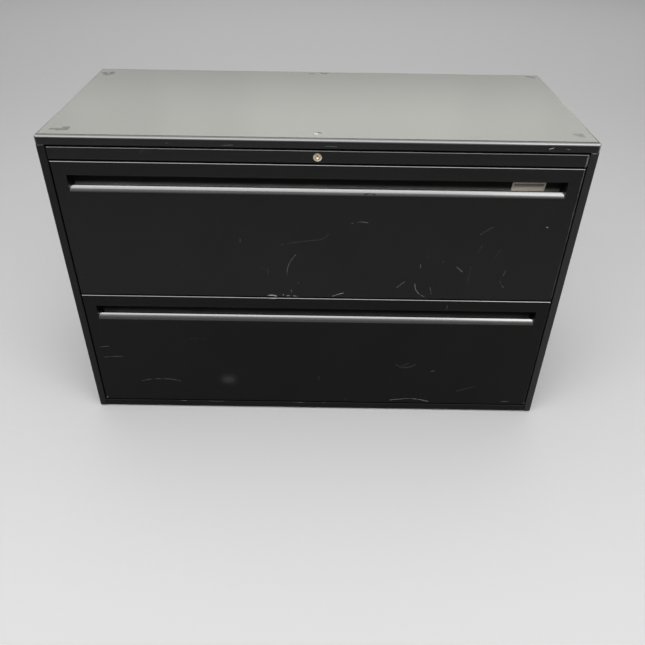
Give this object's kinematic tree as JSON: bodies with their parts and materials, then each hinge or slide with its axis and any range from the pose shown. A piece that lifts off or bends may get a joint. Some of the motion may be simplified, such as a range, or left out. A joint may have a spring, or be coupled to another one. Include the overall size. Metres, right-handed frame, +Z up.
{
  "type": "lateral filing cabinet",
  "caption": "Lateral steel filing cabinet with wide sliding drawers, recessed full-width pulls, a turning lock with its linkage and levelling feet.",
  "frame": {"origin": "on the floor, under the middle of the cabinet", "axes": "+X to the cabinet's right as seen from the front, -Y out of the front, +Z up"},
  "size_m": [1.071, 0.457, 0.6902],
  "materials": {
    "case_paint": "black baked enamel, satin, with fine scuffs",
    "drawer_paint": "black baked enamel, satin, with fine scuffs",
    "zinc_plate": "bright zinc plate",
    "lock_nickel": "warm nickel plate",
    "label_steel": "dull plated steel",
    "label_card": "plain grey card, matt",
    "foot_nylon": "black nylon",
    "cast_iron": "rough cast iron"
  },
  "bodies": {
    "case": {"top_panel": "case_paint", "back_panel": "case_paint", "rear_top_rail": "case_paint", "bottom_pan": "case_paint", "base_rail": "case_paint", "counterweight": "cast_iron", "lock_rail": "case_paint", "left_side_panel": "case_paint", "right_side_panel": "case_paint", "left_base_channel": "case_paint", "right_base_channel": "case_paint", "front_left_upright": "case_paint", "front_right_upright": "case_paint", "rear_left_upright": "case_paint", "rear_right_upright": "case_paint", "lower_left_cabinet_runner": "zinc_plate", "lower_right_cabinet_runner": "zinc_plate", "upper_left_cabinet_runner": "zinc_plate", "upper_right_cabinet_runner": "zinc_plate", "lock_barrel": "lock_nickel", "lock_nut": "zinc_plate", "crank_bracket": "zinc_plate", "lock_bar_guide": "zinc_plate"},
    "lower_drawer": {"lower_front": "drawer_paint", "lower_pull_trough": "drawer_paint", "lower_inner_front": "drawer_paint", "lower_tray_bottom": "drawer_paint", "lower_tray_back": "drawer_paint", "lower_tray_left_side": "drawer_paint", "lower_tray_right_side": "drawer_paint", "lower_left_file_bar": "zinc_plate", "lower_right_file_bar": "zinc_plate", "lower_left_drawer_runner": "zinc_plate", "lower_right_drawer_runner": "zinc_plate"},
    "upper_drawer": {"upper_front": "drawer_paint", "upper_pull_trough": "drawer_paint", "upper_inner_front": "drawer_paint", "upper_tray_bottom": "drawer_paint", "upper_tray_back": "drawer_paint", "upper_tray_left_side": "drawer_paint", "upper_tray_right_side": "drawer_paint", "upper_left_file_bar": "zinc_plate", "upper_right_file_bar": "zinc_plate", "upper_left_drawer_runner": "zinc_plate", "upper_right_drawer_runner": "zinc_plate", "label_holder": "label_steel", "label_card": "label_card"},
    "lower_middle_runners": {"lower_left_middle_runner": "zinc_plate", "lower_right_middle_runner": "zinc_plate"},
    "upper_middle_runners": {"upper_left_middle_runner": "zinc_plate", "upper_right_middle_runner": "zinc_plate"},
    "lock_plug": {"lock_plug": "lock_nickel", "lock_cam": "zinc_plate"},
    "lock_link": {"lock_link": "zinc_plate"},
    "bell_crank": {"bell_crank": "zinc_plate"},
    "lock_bar": {"lock_bar": "zinc_plate"},
    "foot_front_left": {"foot_front_left": "foot_nylon"},
    "foot_front_right": {"foot_front_right": "foot_nylon"},
    "foot_rear_left": {"foot_rear_left": "foot_nylon"},
    "foot_rear_right": {"foot_rear_right": "foot_nylon"}
  },
  "joints": [
    {"name": "lower_drawer_slide", "type": "slide", "parent": "case", "child": "lower_drawer", "axis": [0, -1, 0], "range_m": [0, 0.4]},
    {"name": "lower_runner_slide", "type": "slide", "parent": "case", "child": "lower_middle_runners", "axis": [0, -1, 0], "range_m": [0, 0.2]},
    {"name": "upper_drawer_slide", "type": "slide", "parent": "case", "child": "upper_drawer", "axis": [0, -1, 0], "range_m": [0, 0.4]},
    {"name": "upper_runner_slide", "type": "slide", "parent": "case", "child": "upper_middle_runners", "axis": [0, -1, 0], "range_m": [0, 0.2]},
    {"name": "lock_plug_turn", "type": "hinge", "parent": "case", "child": "lock_plug", "pos_m": [0, -0.215, 0.6539], "axis": [0, 1, 0], "range_deg": [0, 90]},
    {"name": "lock_link_slide", "type": "slide", "parent": "case", "child": "lock_link", "axis": [1, 0, 0], "range_m": [0, 0.0107]},
    {"name": "bell_crank_turn", "type": "hinge", "parent": "case", "child": "bell_crank", "pos_m": [0.50545, -0.1994, 0.64682], "axis": [0, 1, 0], "range_deg": [0, 44.6]},
    {"name": "lock_bar_slide", "type": "slide", "parent": "case", "child": "lock_bar", "axis": [0, 0, -1], "range_m": [0, 0.01515]},
    {"name": "foot_front_left_turn", "type": "hinge", "parent": "case", "child": "foot_front_left", "pos_m": [-0.5063, -0.1765, 0.01], "axis": [0, 0, 1], "continuous": true},
    {"name": "foot_front_right_turn", "type": "hinge", "parent": "case", "child": "foot_front_right", "pos_m": [0.5063, -0.1765, 0.01], "axis": [0, 0, 1], "continuous": true},
    {"name": "foot_rear_left_turn", "type": "hinge", "parent": "case", "child": "foot_rear_left", "pos_m": [-0.5063, 0.1765, 0.01], "axis": [0, 0, 1], "continuous": true},
    {"name": "foot_rear_right_turn", "type": "hinge", "parent": "case", "child": "foot_rear_right", "pos_m": [0.5063, 0.1765, 0.01], "axis": [0, 0, 1], "continuous": true}
  ],
  "couplings": [
    {"joint": "lower_runner_slide", "follows": "lower_drawer_slide", "ratio": 0.5},
    {"joint": "upper_runner_slide", "follows": "upper_drawer_slide", "ratio": 0.5},
    {"joint": "lock_plug_turn", "follows": "lock_bar_slide", "rad_per_m": 103.66},
    {"joint": "lock_link_slide", "follows": "lock_bar_slide", "ratio": 0.7},
    {"joint": "bell_crank_turn", "follows": "lock_bar_slide", "rad_per_m": 51.28}
  ]
}
